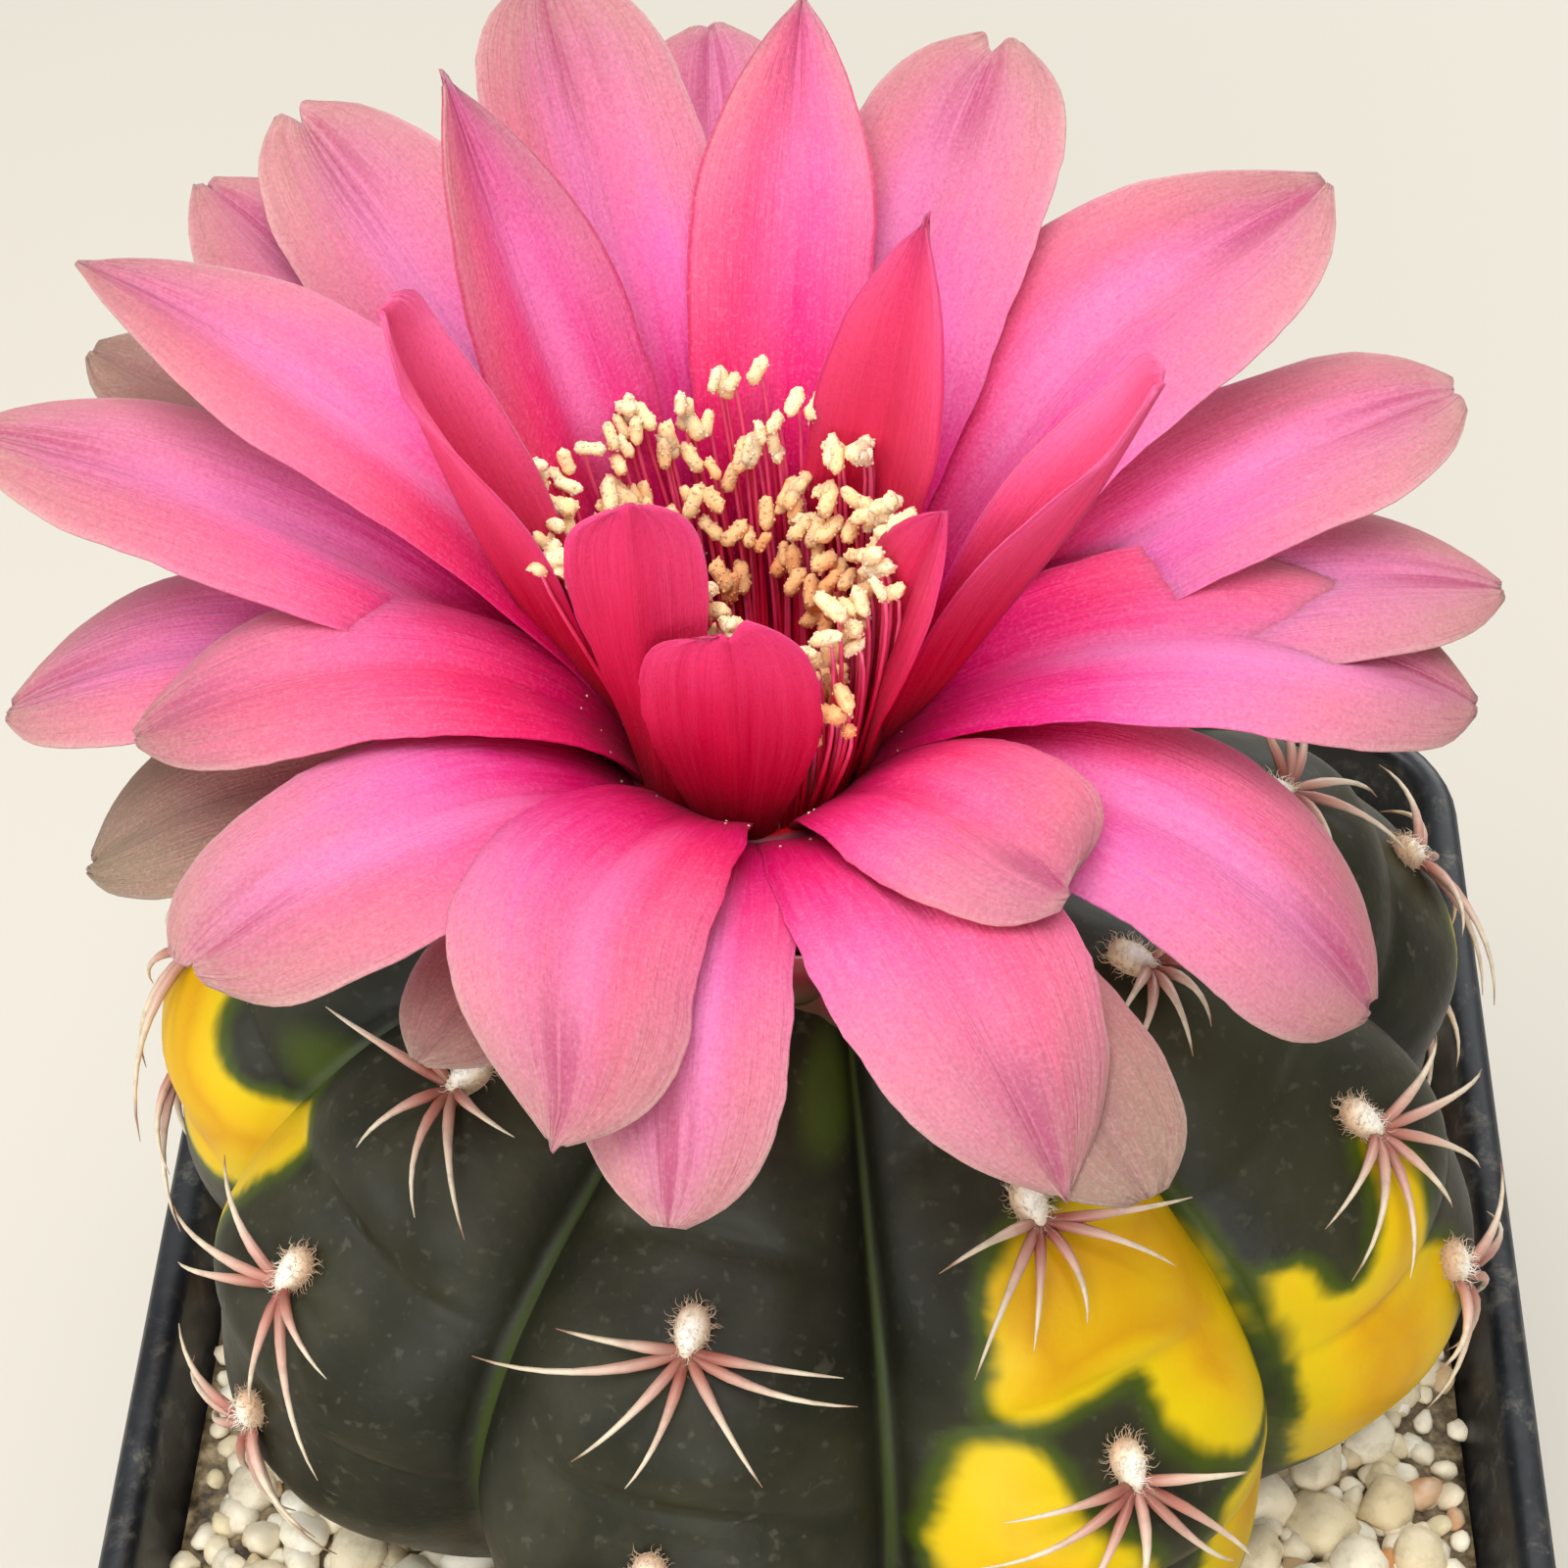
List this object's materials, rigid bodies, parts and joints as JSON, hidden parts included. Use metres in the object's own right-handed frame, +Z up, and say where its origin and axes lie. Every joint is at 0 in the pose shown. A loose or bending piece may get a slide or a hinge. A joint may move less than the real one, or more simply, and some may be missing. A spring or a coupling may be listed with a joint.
{
  "type": "potted round cactus",
  "caption": "Round ribbed chin cactus in open pink flower, with yellow-patched skin and clusters of curved spines, growing in grit in a small square nursery pot.",
  "frame": {"origin": "middle of the pot's flat underside, on the surface that it stands on", "axes": "+Z up, -Y towards the side that the flower hangs over and the viewer faces, +X to the viewer's right"},
  "size_m": [0.07, 0.07, 0.1312],
  "materials": {
    "pot": "semi-matte moulded plastic",
    "soil": "damp crumbly potting mix",
    "grit": "dull washed pebbles",
    "skin": "satin waxy skin with yellow patches",
    "spine": "matte woody spines in felt wool",
    "tube": "satin fleshy scales",
    "petal": "silky petals",
    "stamen": "powdery anthers on thin filaments",
    "stigma": "soft matte"
  },
  "bodies": {
    "root": {"pot": "pot", "soil": "soil", "grit_topping": "grit", "cactus_body": "skin", "areole_rib1_row2": "spine", "areole_rib1_row3": "spine", "areole_rib2_row2": "spine", "areole_rib2_row3": "spine", "areole_rib2_row4": "spine", "areole_rib3_row1": "spine", "areole_rib3_row2": "spine", "areole_rib3_row3": "spine", "areole_rib4_row1": "spine", "areole_rib4_row2": "spine", "areole_rib4_row3": "spine", "areole_rib4_row4": "spine", "areole_rib5_row1": "spine", "areole_rib5_row2": "spine", "areole_rib5_row3": "spine", "areole_rib6_row1": "spine", "areole_rib6_row2": "spine", "areole_rib6_row3": "spine", "areole_rib6_row4": "spine", "areole_rib7_row1": "spine", "areole_rib7_row2": "spine", "areole_rib7_row3": "spine", "areole_rib8_row1": "spine", "areole_rib8_row2": "spine", "areole_rib8_row3": "spine", "areole_rib8_row4": "spine", "areole_rib9_row2": "spine", "areole_rib9_row3": "spine", "areole_rib9_row4": "spine", "flower_tube": "tube", "petals": "petal", "stamens": "stamen", "pistil": "stigma"}
  },
  "joints": []
}
